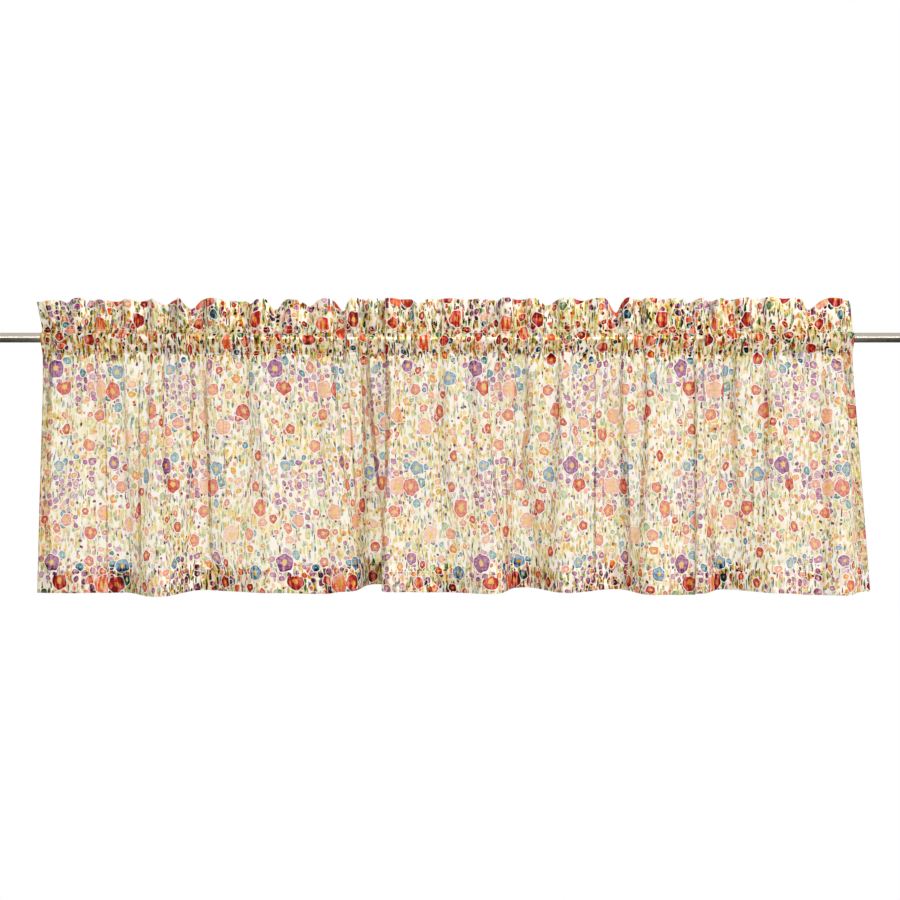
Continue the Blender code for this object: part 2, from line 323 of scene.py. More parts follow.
def smooth_between(values, fold, s):
    """Ease a value from each fold line to the next: flat at the lines, half a cosine between."""
    ease = (1.0 - np.cos(np.pi * s)) / 2.0
    return values[fold] + (values[fold + 1] - values[fold]) * ease


def uneven_waves(along, pitch, seed):
    """Waves between -1 and 1 whose crests stand about pitch apart, each of another height.

    Random heights at even places are joined by half cosines.
    """
    heights = np.random.default_rng(seed).uniform(-1.0, 1.0, int(np.ptp(along) / pitch) + 3)
    place = (along - along.min()) / pitch
    first = place.astype(int)
    ease = (1.0 - np.cos(np.pi * (place - first))) / 2.0
    return heights[first] + (heights[first + 1] - heights[first]) * ease


class GatheredCloth:
    """The cloth's middle surface, as a curve along X and Y at every height."""

    def __init__(self, sizes):
        self.sizes = sizes
        table = np.array(FOLD_LINES, dtype=float)
        self.at_edge, self.at_hem, self.depth, self.hem_lift = table[:, :4].T * MM
        self.at_rod = self.at_hem + (self.at_edge - self.at_hem) * ROD_SHIFT
        self.dip, self.dip_between = table[:, 5:].T * MM
        self.gathers = table[:-1, 4].astype(int)
        self.turned = int(round(sizes.side_hem / sizes.column_pitch))
        trough = np.arange(len(table)) % 2 == 0
        self.gather_side = np.where(trough, 0.5, -0.5) * sizes.gather_depth

        # Cloth in each half fold, and its bend at the hem and at the rod
        width = np.diff(self.at_hem)
        depth = np.diff(self.depth)
        slope = np.arctan2(np.abs(depth), width)
        hem_bend = np.interp(slope, np.arctan2(DEPTH_OF_BEND, WIDTH_OF_BEND), BENDS)
        spread = np.hypot(np.interp(hem_bend, BENDS, WIDTH_OF_BEND),
                          np.interp(hem_bend, BENDS, DEPTH_OF_BEND))
        self.cloth = np.hypot(width, depth) / spread

        # Creases take up cloth of their own, and have finer steps
        half_way = (self.at_rod + self.at_hem) / 2
        creases = np.array(CREASES, dtype=float)
        place = creases[:, 0] * MM
        self.crease_fold = np.searchsorted(half_way, place) - 1
        start = half_way[self.crease_fold]
        self.crease_s = (place - start) / (half_way[self.crease_fold + 1] - start)
        self.crease_top, self.crease_foot = creases[:, 1] * MM, creases[:, 2] * MM
        self.crease_turn = creases[:, 3]
        np.add.at(self.cloth, self.crease_fold, CREASE_HALF * self.crease_turn)
        fine, ends = np.linspace(0.0, 1.0, 401), []
        for i, piece in enumerate(self.cloth):
            near = self.crease_s[self.crease_fold == i, None]
            off = (fine - near) * piece / (FINER_REACH * CREASE_HALF)
            fineness = 1.0 + FINER_BY * np.exp(-off ** 4).sum(axis=0)
            reached = np.append(0.0, np.cumsum((fineness[1:] + fineness[:-1]) / 2)) / (len(fine) - 1)
            steps = SUBSTEPS * int(round(piece * reached[-1] / sizes.column_pitch))
            ends.append(np.interp(np.linspace(0.0, reached[-1], steps + 1), reached, fine))

        # Steps along the cloth: the half fold that each is in, and its place there
        steps = np.array([len(end) - 1 for end in ends])
        self.fold = np.append(np.repeat(np.arange(len(steps)), steps), len(steps) - 1)
        self.s = np.concatenate([end[:-1] for end in ends] + [[1.0]])
        self.step = np.concatenate([np.diff(end) * piece for end, piece in zip(ends, self.cloth)])
        self.lines = np.append(0, np.cumsum(steps))
        self.along = np.append(0.0, np.cumsum(self.step))
        middle = self.along[self.lines[self.crease_fold]] + self.crease_s * self.cloth[self.crease_fold]
        self.crease_shape = np.exp(-((self.along - middle[:, None]) / CREASE_HALF) ** 4)

        rod_share = np.diff(self.at_rod) / self.cloth
        rod_bend = np.interp(rod_share, WIDTH_OF_BEND[::-1], BENDS[::-1])

        # The tangent turns one way from a crest to a trough, and the other way back
        turn = np.where(trough[:-1], -1.0, 1.0)[self.fold]
        self.fold_turn = turn * hem_bend[self.fold] * np.sin(np.pi * self.s)
        waves = self.gathers[self.fold] * self.s
        self.gather_turn = turn * rod_bend[self.fold] * np.sin(np.pi * waves)
        self.crease_turn = self.crease_turn * np.where(trough[self.crease_fold], -1.0, 1.0)

        # Fine puckers at the seams, soft creases in the hanging cloth, and uneven seams and
        # hem, each as waves of its own pitch and seed
        self.puckers = uneven_waves(self.along, 7.0 * MM, 3) + 0.5 * uneven_waves(self.along, 17.0 * MM, 4)
        self.creases = uneven_waves(self.along, 23.0 * MM, 5)
        self.seam_sag = 4.5 * MM * uneven_waves(self.along, 20.0 * MM, 6)
        self.hem_sag = 2.0 * MM * uneven_waves(self.along, 55.0 * MM, 7)

    def fall(self, height):
        """Share of the drop from the lower seam to the hem."""
        sizes = self.sizes
        return np.clip((sizes.lower_seam - height) / (sizes.lower_seam - sizes.hem_edge), 0.0, 1.0)

    def curve(self, height):
        """Middle of the cloth at a height: X, Y and the direction across the cloth.

        The tangent's angle is a share of the folds' turn, plus a share of the gathers'
        turn, plus the creases' turn. Its cosine and sine are summed along the cloth. What
        is left between the sums and the fold lines' own places is eased in between the
        lines. Puckers that fade away from the seams and soft creases are then added to Y.
        """
        sizes = self.sizes
        fall = self.fall(height)
        fold_share = np.sin(np.pi / 2 * fall ** FOLD_ONSET)
        gather_share = max(np.sqrt(1.0 - fold_share ** 2), GATHER_REST)
        angle = fold_share * self.fold_turn + gather_share * self.gather_turn
        from_end = np.minimum(self.crease_top - height, height - self.crease_foot)
        sharp = np.clip(from_end / CREASE_FADE, 0.0, 1.0)
        angle += (self.crease_turn * np.sin(np.pi / 2 * sharp)) @ self.crease_shape
        angle = np.clip(angle, -LARGEST_TURN, LARGEST_TURN)
        middle = (angle[1:] + angle[:-1]) / 2
        x = np.append(0.0, np.cumsum(np.cos(middle) * self.step))
        y = np.append(0.0, np.cumsum(np.sin(middle) * self.step))
        line_x = self.at_rod + (self.at_hem - self.at_rod) * fall
        line_y = self.gather_side + (self.depth - self.gather_side) * fold_share
        x += smooth_between(line_x - x[self.lines], self.fold, self.s)
        y += smooth_between(line_y - y[self.lines], self.fold, self.s)
        y *= np.interp(height, SWAY_HEIGHTS, SWAY_SHARES)
        rise = np.clip((height - sizes.upper_seam) / (sizes.heading_top - sizes.upper_seam), 0.0, 1.0)
        x += EDGE_SPLAY[0] * rise * np.exp(-(x - x[0]) / SPLAY_REACH)
        x += EDGE_SPLAY[1] * rise * np.exp(-(x[-1] - x) / SPLAY_REACH)

        off_seam = max(height - sizes.upper_seam, sizes.lower_seam - height, 0.0)
        y += sizes.pucker * self.puckers * np.exp(-off_seam / PUCKER_FADE)
        if sizes.lower_seam <= height <= sizes.upper_seam:
            y = sizes.tunnel_sway * np.tanh(y / sizes.tunnel_sway)
        y += SOFT_CREASE * self.creases * np.sin(np.pi * min(fall / SOFT_CREASE_END, 1.0))
        across = np.stack((-np.gradient(y), np.gradient(x)))
        across /= np.hypot(*across)
        return x, y, across

    def heading_dip(self, x):
        """Drop of the ruffle's top edge: a narrow bell at each dip, and broad ones between."""
        notch = np.where(self.dip > SHALLOW_DIP, self.dip, 0.0)
        reach = np.diff(self.at_edge) / self.gathers
        to_trough = np.arange(len(reach)) % 2 == 1
        between = np.where(to_trough, self.at_edge[:-1] + reach, self.at_edge[1:] - reach)
        drop = np.interp(x, self.at_edge, self.dip - notch)
        for place, depth, left, right in (
                *zip(self.at_edge, notch, np.append(reach[0], reach), np.append(reach, reach[-1])),
                *zip(between, self.dip_between, reach, reach)):
            off = np.clip(np.where(x < place, (place - x) / left, (x - place) / right), 0.0, 1.0)
            drop += depth * np.cos(np.pi / 2 * off) ** 4
        return drop

    def height(self, level, x):
        """Height of a level along the cloth: the ruffle's dips, the hem's lifts, uneven seams."""
        sizes = self.sizes
        if level > sizes.upper_seam:
            share = (level - sizes.upper_seam) / (sizes.heading_top - sizes.upper_seam)
            return level - share * self.heading_dip(x)
        sag = (self.seam_sag * np.exp(-((level - sizes.lower_seam) / SAG_REACH) ** 2)
               + self.hem_sag * np.exp(-((level - sizes.hem_turn) / SAG_REACH) ** 2))
        return level + sag + self.fall(level) * smooth_between(self.hem_lift, self.fold, self.s)

    def tunnel_wall(self, height):
        """Distance of the tunnel's wall from the cloth's middle, and its free share of sway.

        The wall leaves the upper seam, hugs the top of the rod, stands off it by the
        sway in front, and runs straight from there down to the lower seam.
        """
        sizes = self.sizes
        rod = bpy.context.scene.valance_rod.radius + sizes.seat_gap
        roof = ROOF_SHARE * rod
        free = np.clip((roof - height) / roof, 0.0, 1.0) ** 0.5
        round_it = rod + sizes.tunnel_sway * free
        tangent = round_it ** 2 / sizes.lower_seam
        if height >= roof:
            foot = np.sqrt(rod ** 2 - roof ** 2)
            share = (sizes.upper_seam - height) / (sizes.upper_seam - roof)
            return PLY + (foot - PLY) * share, max(free, 1.0 - share)
        if height >= tangent:
            return np.sqrt(round_it ** 2 - height ** 2), free
        share = (height - sizes.lower_seam) / (tangent - sizes.lower_seam)
        return PLY + (np.sqrt(round_it ** 2 - tangent ** 2) - PLY) * share, 1.0

    def layer(self, level, ply, wall=0):
        """Points of one layer at a level; ply is its offset across the cloth.

        wall is -1 for the tunnel's front wall, 1 for its back wall and 0 elsewhere.
        """
        x, y, across = self.curve(level)
        if wall:
            stand_off, free = self.tunnel_wall(level)
            y = free * y + wall * stand_off
        points = np.stack((x + ply * across[0], y + ply * across[1], self.height(level, x)), axis=1)
        return points[::SUBSTEPS], across.T[::SUBSTEPS]


def cloth_rows(sizes):
    """The way along one column of the cloth, from the facing's raw edge to the hem's.

    Each row is a level, an offset across the cloth, the tunnel's wall that it is on, and
    the side that the cloth's wrong side faces: 1 where it faces back and -1 where it
    faces the room, as in the facing and the turned-up hem.
    """
    def run(start, end, rows, ply, wall, wrong_side, power=1.0):
        share = np.linspace(0.0, 1.0, rows) ** power
        return [(start + (end - start) * t, ply, wall, wrong_side) for t in share]

    top, upper, lower = sizes.heading_top, sizes.upper_seam, sizes.lower_seam
    turn, edge = sizes.hem_turn, sizes.hem_edge
    rows = run(lower + sizes.facing_turn_in, lower + 0.5 * MM, 4, -PLY, 1, 1)
    rows += [(lower - 2.0 * MM, PLY, 0, -1)]
    rows += run(lower, upper, 12, 0.0, 1, -1)
    rows += run(upper + 2.5 * MM, top - 0.3 * MM, 10, 1.3 * PLY, 0, -1)
    rows += [(top, 0.0, 0, 1)]
    rows += run(top - 0.3 * MM, upper + 2.5 * MM, 12, -1.3 * PLY, 0, 1)
    rows += run(upper, lower, 16, 0.0, -1, 1)
    rows += run(lower - 3.0 * MM, turn, 34, 0.0, 0, 1, power=1.3)
    rows += run(turn - 7.0 * MM, edge + 0.3 * MM, 5, -PLY, 0, 1)
    rows += [(edge, 0.0, 0, 1)]
    rows += run(edge + 0.3 * MM, turn, 5, 2.0 * PLY, 0, -1)
    rows += run(turn - 0.5 * MM, turn - sizes.turn_in, 2, PLY, 0, 1)
    return rows


def cloth_grid(cloth):
    """Points and flat places of the whole sheet, as arrays of rows by columns.

    Every row is one layer of the cloth. Its first and last columns are repeated the
    other way round, just behind it, as the side hems. A flat place is the distance
    along the cloth from its left edge, and the height above the hem's raw edge.
    """
    sizes = cloth.sizes
    rows = cloth_rows(sizes)
    along = cloth.along[::SUBSTEPS]
    left, right = slice(cloth.turned, 0, -1), slice(-2, -cloth.turned - 2, -1)
    along = np.concatenate((-along[left], along, 2 * along[-1] - along[right]))
    points, middles = [], []
    for level, ply, wall, wrong_side in rows:
        layer, across = cloth.layer(level, ply, wall)
        hem = layer + wrong_side * SIDE_HEM_PLY * np.pad(across, ((0, 0), (0, 1)))
        points.append(np.concatenate((hem[left], layer, hem[right])))
        middles.append((layer[:, 1].mean(), level))
    steps = np.linalg.norm(np.diff(middles, axis=0), axis=1)
    up = steps.sum() - np.append(0.0, np.cumsum(steps))
    place = np.stack(np.broadcast_arrays(along[None, :], up[:, None]), axis=-1)
    return np.array(points), place, rows


def layering_and_shade(cloth, points, rows):
    """How the sheet is drawn at every point, as the voile's three values, the first two carrying painted
    shade.

    slant     painted shade: how much longer the way through the cloth is than straight on
              from the front, 0 to 2; it darkens the print and closes its gaps on the folds' walls
    bunched   deeper print in pleats too fine for the mesh, partly the dye of more layers and
              partly painted shade: it falls off exponentially from the tunnel up and down,
              swells at the lower seam as a bell, and in the hem it is painted shade, more in
              the folds' troughs than on their crests
    doubled   share of the weave's gaps that the threads of the layer behind close
    """
    level = np.array([row[0] for row in rows])
    above, below = level - cloth.sizes.upper_seam, cloth.sizes.lower_seam - level
    in_hem = level <= cloth.sizes.hem_turn
    right = np.gradient(points, axis=1)
    # Painted shade: the cloth's slant to the front, which darkens the folds' walls as seen from the front
    slant = np.hypot(right[..., 0], right[..., 1]) / np.maximum(np.abs(right[..., 0]), 1e-6)

    # Deeper print in pleats too fine for the mesh: partly the dye of more layers, partly painted shade
    bunched = np.exp(-np.maximum(np.maximum(above / RUFFLE_OPENS, below / BODY_OPENS), 0.0))
    bunched += SEAM_BULGE * np.exp(-(below / SEAM_BULGE_REACH) ** 2)
    doubled = np.where(below > 0.0, 0.0, np.interp(above, (0.0, RUFFLE_RISE), CLOSED_IN_HEADING))
    doubled[in_hem] = CLOSED_IN_HEM
    bunched, doubled = (value[:, None] * np.ones(points.shape[:2]) for value in (bunched, doubled))
    # Painted shade in the hem: more of it where the cloth lies back, in the folds' troughs
    troughs = np.tanh(points[in_hem, :, 1] / TROUGH_SHADE_DEPTH)
    bunched[in_hem] += HEM_BUNCH * (1.0 + TROUGH_SHADE_SHARE * troughs)
    return {"slant": np.clip(slant, 1.0, 3.0) - 1.0, "bunched": bunched, "doubled": doubled}


# One stitch: a point at each end, and two rings of four between them
STITCH_CORNERS = 10
STITCH_FACES = ([(0, 1 + (k + 1) % 4, 1 + k) for k in range(4)]
                + [(1 + k, 1 + (k + 1) % 4, 5 + (k + 1) % 4, 5 + k) for k in range(4)]
                + [(9, 5 + k, 5 + (k + 1) % 4) for k in range(4)])
STITCH_HALF = 0.35           # half a stitch's length, as a share of the pitch
THREAD_RADIUS = 0.22 * MM
STITCH_RISE = 0.18 * MM      # how far the thread's middle stands off the cloth
HEM_STITCHES = 2.0 * MM      # how far under the hem's turned-in edge its stitches run


def stitch_line(line, way, pitch):
    """Corners of the stitches along a line, whose middles stand proud of it along the way.

    A stitch is a thread with its two ends in the cloth, thickest along its middle half.
    """
    steps = np.linalg.norm(np.diff(line, axis=0), axis=1)
    along = np.append(0.0, np.cumsum(steps))
    at = np.arange(pitch, along[-1] - pitch, pitch)
    middle, out, ahead = (np.stack([np.interp(at, along, values[:, k]) for k in range(3)], axis=1)
                          for values in (line, way, np.gradient(line, along, axis=0)))
    ahead /= np.linalg.norm(ahead, axis=1, keepdims=True)
    beside = np.cross(ahead, out)
    ring = [(THREAD_RADIUS, 0.0), (0.0, THREAD_RADIUS), (-THREAD_RADIUS, 0.0), (0.0, -THREAD_RADIUS)]
    half = STITCH_HALF * pitch
    template = [(-half, -0.05 * MM, 0.0)]
    template += [(end * half, STITCH_RISE + rise, side) for end in (-0.5, 0.5) for rise, side in ring]
    template += [(half, -0.05 * MM, 0.0)]
    template = np.array(template)[None, :, :, None]
    corners = (middle[:, None] + template[:, :, 0] * ahead[:, None]
               + template[:, :, 1] * out[:, None] + template[:, :, 2] * beside[:, None])
    return corners.reshape(-1, 3)


# ---------------------------------------------------------------- the print and the voile


REPEAT = (320.0, 390.0)      # millimetres of a strip of the print and of its repeat up the strip
PRINT_SHIFT = 373.0          # millimetres from the print's origin down to the hem's raw edge
YELLOW_TURN = 0.87           # turn at the hem's raw edge of the wave that brings yellow back

# Waves to the metre, across the cloth and up it
BRUSH_WAVES = (90.0, 40.0, 1.0)      # the brush's wandering, 11 mm by 25 mm
THREAD_WAVES = (25.0, 420.0, 1.0)    # a weft's thicker stretches, 40 mm by 2.4 mm
# The pleats below are drawn as streaks of painted shade and of the dye of more layers
PLEAT_WAVES = (120.0, 30.0, 1.0)     # pleats too fine for the mesh, 8 mm by 33 mm
BRUSH_REACH = (0.0045, 0.006, 0.0)   # metres that the brush wanders over, across and up

# Brush dabs from the lowest to the topmost, sizes in millimetres:
#   cell      mean distance between two of them, across and up, and so their proportion
#   radius, soft    half their size and the width of their soft edge, as shares of the cell
#   fill      share of the cells that hold one
#   strength  how much they cover what is under them
#   drift     colour channel of the slow drift that picks their ink
#   inks      colours in the order in which they drift into each other
DABS = (
    dict(name="wash", cell=(20, 50), radius=0.62, soft=0.30, fill=0.75, strength=0.38, drift=0,
         inks="yellow butter lime butter yellow lime butter bare lime lilac bare butter blush".split()),
    dict(name="grass", cell=(6.6, 21), radius=0.41, soft=0.08, fill=0.95, strength=0.95, drift=0,
         inks="yellow ochre lime yellow lime sage yellow lime butter sage lilac sage blush lime".split()),
    dict(name="petals", cell=(11, 14), radius=0.36, soft=0.07, fill=0.4, strength=0.95, drift=1,
         inks="yellow orange ochre peach lime yellow sage lilac blush peach".split()),
    dict(name="stems", cell=(7.5, 36), radius=0.18, soft=0.05, fill=0.65, strength=0.95, drift=1,
         inks="moss teal ochre navy blue moss plum blue teal plum navy".split()),
    dict(name="seeds", cell=(12, 13), radius=0.22, soft=0.06, fill=0.42, strength=0.95, drift=2,
         inks="orange ochre plum orange plum peach mauve coral navy coral".split()),
)

# Motifs over them, from the lowest to the topmost, sizes in millimetres:
#   cell       the field that each one stands in, a whole number of them to the repeat
#   jitter     share of the field that its middle moves in
#   stretch    its length over its width, across and up
#   turn       the turn that it may have, in radians
#   radius, spread    its radius and the share by which that varies
#   petals, lobe      number of petals, and their depth over the radius
#   fill, cluster     share of the fields that hold one, and how much that drifts
#   inks       colours in the order in which they drift into each other
#   halo       width of bare cloth around it
#   heart, heart_ink  share of the radius that the middle takes, and its colour
MOTIFS = (
    dict(name="berries", cell=(16, 15), jitter=0.4, stretch=(0.9, 1.0), turn=6.3, radius=5.6,
         spread=0.3, petals=4, lobe=0.05, fill=-0.25, cluster=6.5, halo=1.3, heart=0.0,
         heart_ink="lilac", inks="coral orange mauve purple mauve mauve purple teal blue".split()),
    dict(name="buds", cell=(32, 32.5), jitter=0.6, stretch=(0.9, 1.1), turn=6.3, radius=7.4,
         spread=0.35, petals=5, lobe=0.06, fill=0.45, cluster=2.5, halo=1.7, heart=0.22,
         heart_ink="butter", inks="teal orange coral ochre peach red coral orange peach mauve".split()),
    dict(name="leaves", cell=(40, 48.75), jitter=0.7, stretch=(0.8, 1.2), turn=6.3, radius=7.0,
         spread=0.35, petals=2, lobe=0.12, fill=0.45, cluster=2.5, halo=1.7, heart=0.15,
         heart_ink="ice", inks="teal blue teal sage blue".split()),
    dict(name="blossoms", cell=(80, 65), jitter=0.7, stretch=(1.0, 1.0), turn=6.3, radius=15.0,
         spread=0.3, petals=5, lobe=0.05, fill=0.9, cluster=0.0, halo=2.0, heart=0.27,
         heart_ink="yellow", inks="coral purple coral red blue peach coral".split()),
)

# Socket name, kind and default of the scattered motifs' settings, in metres
MOTIF_SOCKETS = (
    ("Place", "NodeSocketVector", (0.0, 0.0, 0.0)),
    ("Cell", "NodeSocketVector", (0.04, 0.04, 1.0)),
    ("Cells in repeat", "NodeSocketVector", (8.0, 6.0, 1.0)),
    ("Seed", "NodeSocketVector", (0.0, 0.0, 1.0)),
    ("Jitter", "NodeSocketFloat", 0.3),
    ("Stretch", "NodeSocketVector", (1.0, 1.0, 1.0)),
    ("Turn", "NodeSocketFloat", 6.28),
    ("Radius", "NodeSocketFloat", 0.01),
    ("Spread", "NodeSocketFloat", 0.2),
    ("Petals", "NodeSocketFloat", 5.0),
    ("Lobe", "NodeSocketFloat", 0.1),
    ("Fill", "NodeSocketFloat", 0.6),
    ("Cluster", "NodeSocketFloat", 0.5),
)


def scattered_motif():
    """A node group that lays one kind of motif out in the print's repeat.

    The cloth is cut into cells, every second column of them half a cell higher. Each
    cell's number in the repeat gives its own random values, so the print comes again in
    every repeat, and a slow drift over the cells gathers motifs of a kind and colour. A
    motif stands in its cell at a random place and turn, and its outline is
    radius * (1 + lobe * cos(petals * angle)). Depth is how far a point lies inside the
    outline in metres, Share its distance from the middle over the outline's, Petal is 1
    along a petal's middle and -1 between two, and Choice and Tone are the motif's own
    values, the first one partly drifting.
    """
    tree = bpy.data.node_groups.new("scattered_motif", "ShaderNodeTree")
    for name, kind, value in MOTIF_SOCKETS:
        tree.interface.new_socket(name, in_out="INPUT", socket_type=kind).default_value = value
    for name in ("Depth", "Share", "Petal", "Choice", "Tone"):
        tree.interface.new_socket(name, in_out="OUTPUT", socket_type="NodeSocketFloat")
    given = add(tree, "NodeGroupInput").outputs

    # The cell, its place in the repeat, and its random values
    cells = add(tree, "VectorMath", {0: given["Place"], 1: given["Cell"]}, operation="DIVIDE")
    part = add(tree, "SeparateXYZ", {0: cells}).outputs
    column = add(tree, "Math", {0: part[0]}, operation="FLOOR")
    odd = add(tree, "Math", {0: column, 1: 2.0}, operation="MODULO")
    raised = add(tree, "Math", {0: odd, 1: 0.5, 2: part[1]}, operation="MULTIPLY_ADD")
    place = add(tree, "CombineXYZ", {0: part[0], 1: raised})
    number = add(tree, "VectorMath", {0: place}, operation="FLOOR")
    wrapped = add(tree, "VectorMath", {0: number, 1: given["Cells in repeat"]},
                  operation="MODULO")
    seeded = add(tree, "VectorMath", {0: wrapped, 1: given["Seed"]})
    first = add(tree, "TexWhiteNoise", {"Vector": seeded, "W": 1.0}, noise_dimensions="4D").outputs
    second = add(tree, "TexWhiteNoise", {"Vector": seeded, "W": 2.0}, noise_dimensions="4D").outputs
    random = add(tree, "SeparateXYZ", {0: second["Color"]}).outputs
    spot = add(tree, "VectorMath", {0: seeded, 1: given["Cell"], 2: given["Seed"]},
               operation="MULTIPLY_ADD")
    drift = add(tree, "TexNoise", {"Vector": spot, "Scale": 10.0, "Detail": 0.0})
    drifts = add(tree, "SeparateXYZ", {0: drift.outputs["Color"]}).outputs

    # The way from the motif's middle, turned and squeezed
    centred = add(tree, "VectorMath", {0: first["Color"], 1: (0.5, 0.5, 0.5)}, operation="SUBTRACT")
    shift = add(tree, "VectorMath", {0: centred, "Scale": given["Jitter"]}, operation="SCALE")
    middle = add(tree, "VectorMath", {0: shift, 1: (0.5, 0.5, 0.0)})
    within = add(tree, "VectorMath", {0: place}, operation="FRACTION")
    off = add(tree, "VectorMath", {0: within, 1: middle}, operation="SUBTRACT")
    metres = add(tree, "VectorMath", {0: off, 1: given["Cell"]}, operation="MULTIPLY")
    signed = add(tree, "Math", {0: second["Value"], 1: 0.5}, operation="SUBTRACT")
    angle = add(tree, "Math", {0: signed, 1: given["Turn"]}, operation="MULTIPLY")
    turned = add(tree, "VectorRotate", {"Vector": metres, "Angle": angle},
                 rotation_type="Z_AXIS")
    shaped = add(tree, "VectorMath", {0: turned, 1: given["Stretch"]}, operation="DIVIDE")
    flat = add(tree, "VectorMath", {0: shaped, 1: (1.0, 1.0, 0.0)}, operation="MULTIPLY")
    radius = add(tree, "VectorMath", {0: flat}, operation="LENGTH").outputs["Value"]
    side = add(tree, "SeparateXYZ", {0: flat}).outputs
    bearing = add(tree, "Math", {0: side[1], 1: side[0]}, operation="ARCTAN2")
    waves = add(tree, "Math", {0: bearing, 1: given["Petals"]}, operation="MULTIPLY")
    lobes = add(tree, "Math", {0: waves}, operation="COSINE")

    # The outline, and how far the point lies inside it
    swing = add(tree, "Math", {0: random[0], 1: 2.0, 2: -1.0}, operation="MULTIPLY_ADD")
    varied = add(tree, "Math", {0: swing, 1: given["Spread"], 2: 1.0}, operation="MULTIPLY_ADD")
    size = add(tree, "Math", {0: varied, 1: given["Radius"]}, operation="MULTIPLY")
    wavy = add(tree, "Math", {0: lobes, 1: given["Lobe"], 2: 1.0}, operation="MULTIPLY_ADD")
    outline = add(tree, "Math", {0: size, 1: wavy}, operation="MULTIPLY")
    inside = add(tree, "Math", {0: outline, 1: radius}, operation="SUBTRACT")
    off_mean = add(tree, "Math", {0: drifts[0], 1: 0.5}, operation="SUBTRACT")
    filled = add(tree, "Math", {0: off_mean, 1: given["Cluster"], 2: given["Fill"]},
                 operation="MULTIPLY_ADD")
    absent = add(tree, "Math", {0: random[1], 1: filled}, operation="GREATER_THAN")
    depth = add(tree, "Math", {0: inside, 1: absent}, operation="SUBTRACT")
    share = add(tree, "Math", {0: radius, 1: outline}, operation="DIVIDE")
    spread = add(tree, "MapRange", {0: drifts[1], 1: 0.3, 2: 0.7, 3: 0.0, 4: 0.5})
    choice = add(tree, "Math", {0: first["Value"], 1: 0.5, 2: spread}, operation="MULTIPLY_ADD")
    add(tree, "NodeGroupOutput", {"Depth": depth, "Share": share,
                                  "Petal": lobes, "Choice": choice, "Tone": random[2]})
    return tree


def palette(tree, choice, names, inks):
    """A ramp of flat inks side by side, picked from by a value between 0 and 1."""
    ramp = add(tree, "ValToRGB", {0: choice})
    ramp.color_ramp.interpolation = "CONSTANT"
    stops = ramp.color_ramp.elements
    stops.remove(stops[-1])
    for i, name in enumerate(names):
        stop = stops[0] if i == 0 else stops.new(i / len(names))
        stop.color = tuple(getattr(inks, name))
    return ramp.outputs[0]


def paint_dabs(tree, dabs, place, drifts, amount, ground, inks):
    """Paint one kind of brush dab over the ground colour and return the new colour.

    Each dab is a round spot at a point of a Voronoi pattern that is squeezed to the
    dab's proportion, so its outline is an ellipse. Its own random values and a slow
    drift pick its ink. Its edge is soft, and its ink to the power of amount is what the
    amount of dye lets through.
    """
    across, up = dabs["cell"]
    cells = add(tree, "VectorMath", {0: place, 1: (across * MM, up * MM, 1.0)}, operation="DIVIDE",
                label=dabs["name"])
    spots = add(tree, "TexVoronoi", {"Vector": cells, "Scale": 1.0, "Randomness": 0.95},
                voronoi_dimensions="2D").outputs
    random = add(tree, "SeparateXYZ", {0: spots["Color"]}).outputs
    choice = add(tree, "Math", {0: random[0], 1: 0.45, 2: drifts[dabs["drift"]]},
                 operation="MULTIPLY_ADD")
    ink = add(tree, "Gamma", {0: palette(tree, choice, dabs["inks"], inks), 1: amount})
    size = add(tree, "MapRange", {0: random[1], 1: 0.0, 2: 1.0, 3: 0.7 * dabs["radius"],
                                  4: 1.3 * dabs["radius"]})
    depth = add(tree, "Math", {0: size, 1: spots["Distance"]}, operation="SUBTRACT")
    held = add(tree, "Math", {0: random[2], 1: dabs["fill"]}, operation="LESS_THAN")
    cover = add(tree, "MapRange", {0: depth, 1: 0.0, 2: dabs["soft"], 3: 0.0, 4: dabs["strength"]})
    there = add(tree, "Math", {0: cover, 1: held}, operation="MULTIPLY")
    return add(tree, "Mix", {0: there, 6: ground, 7: ink}, data_type="RGBA").outputs[2]


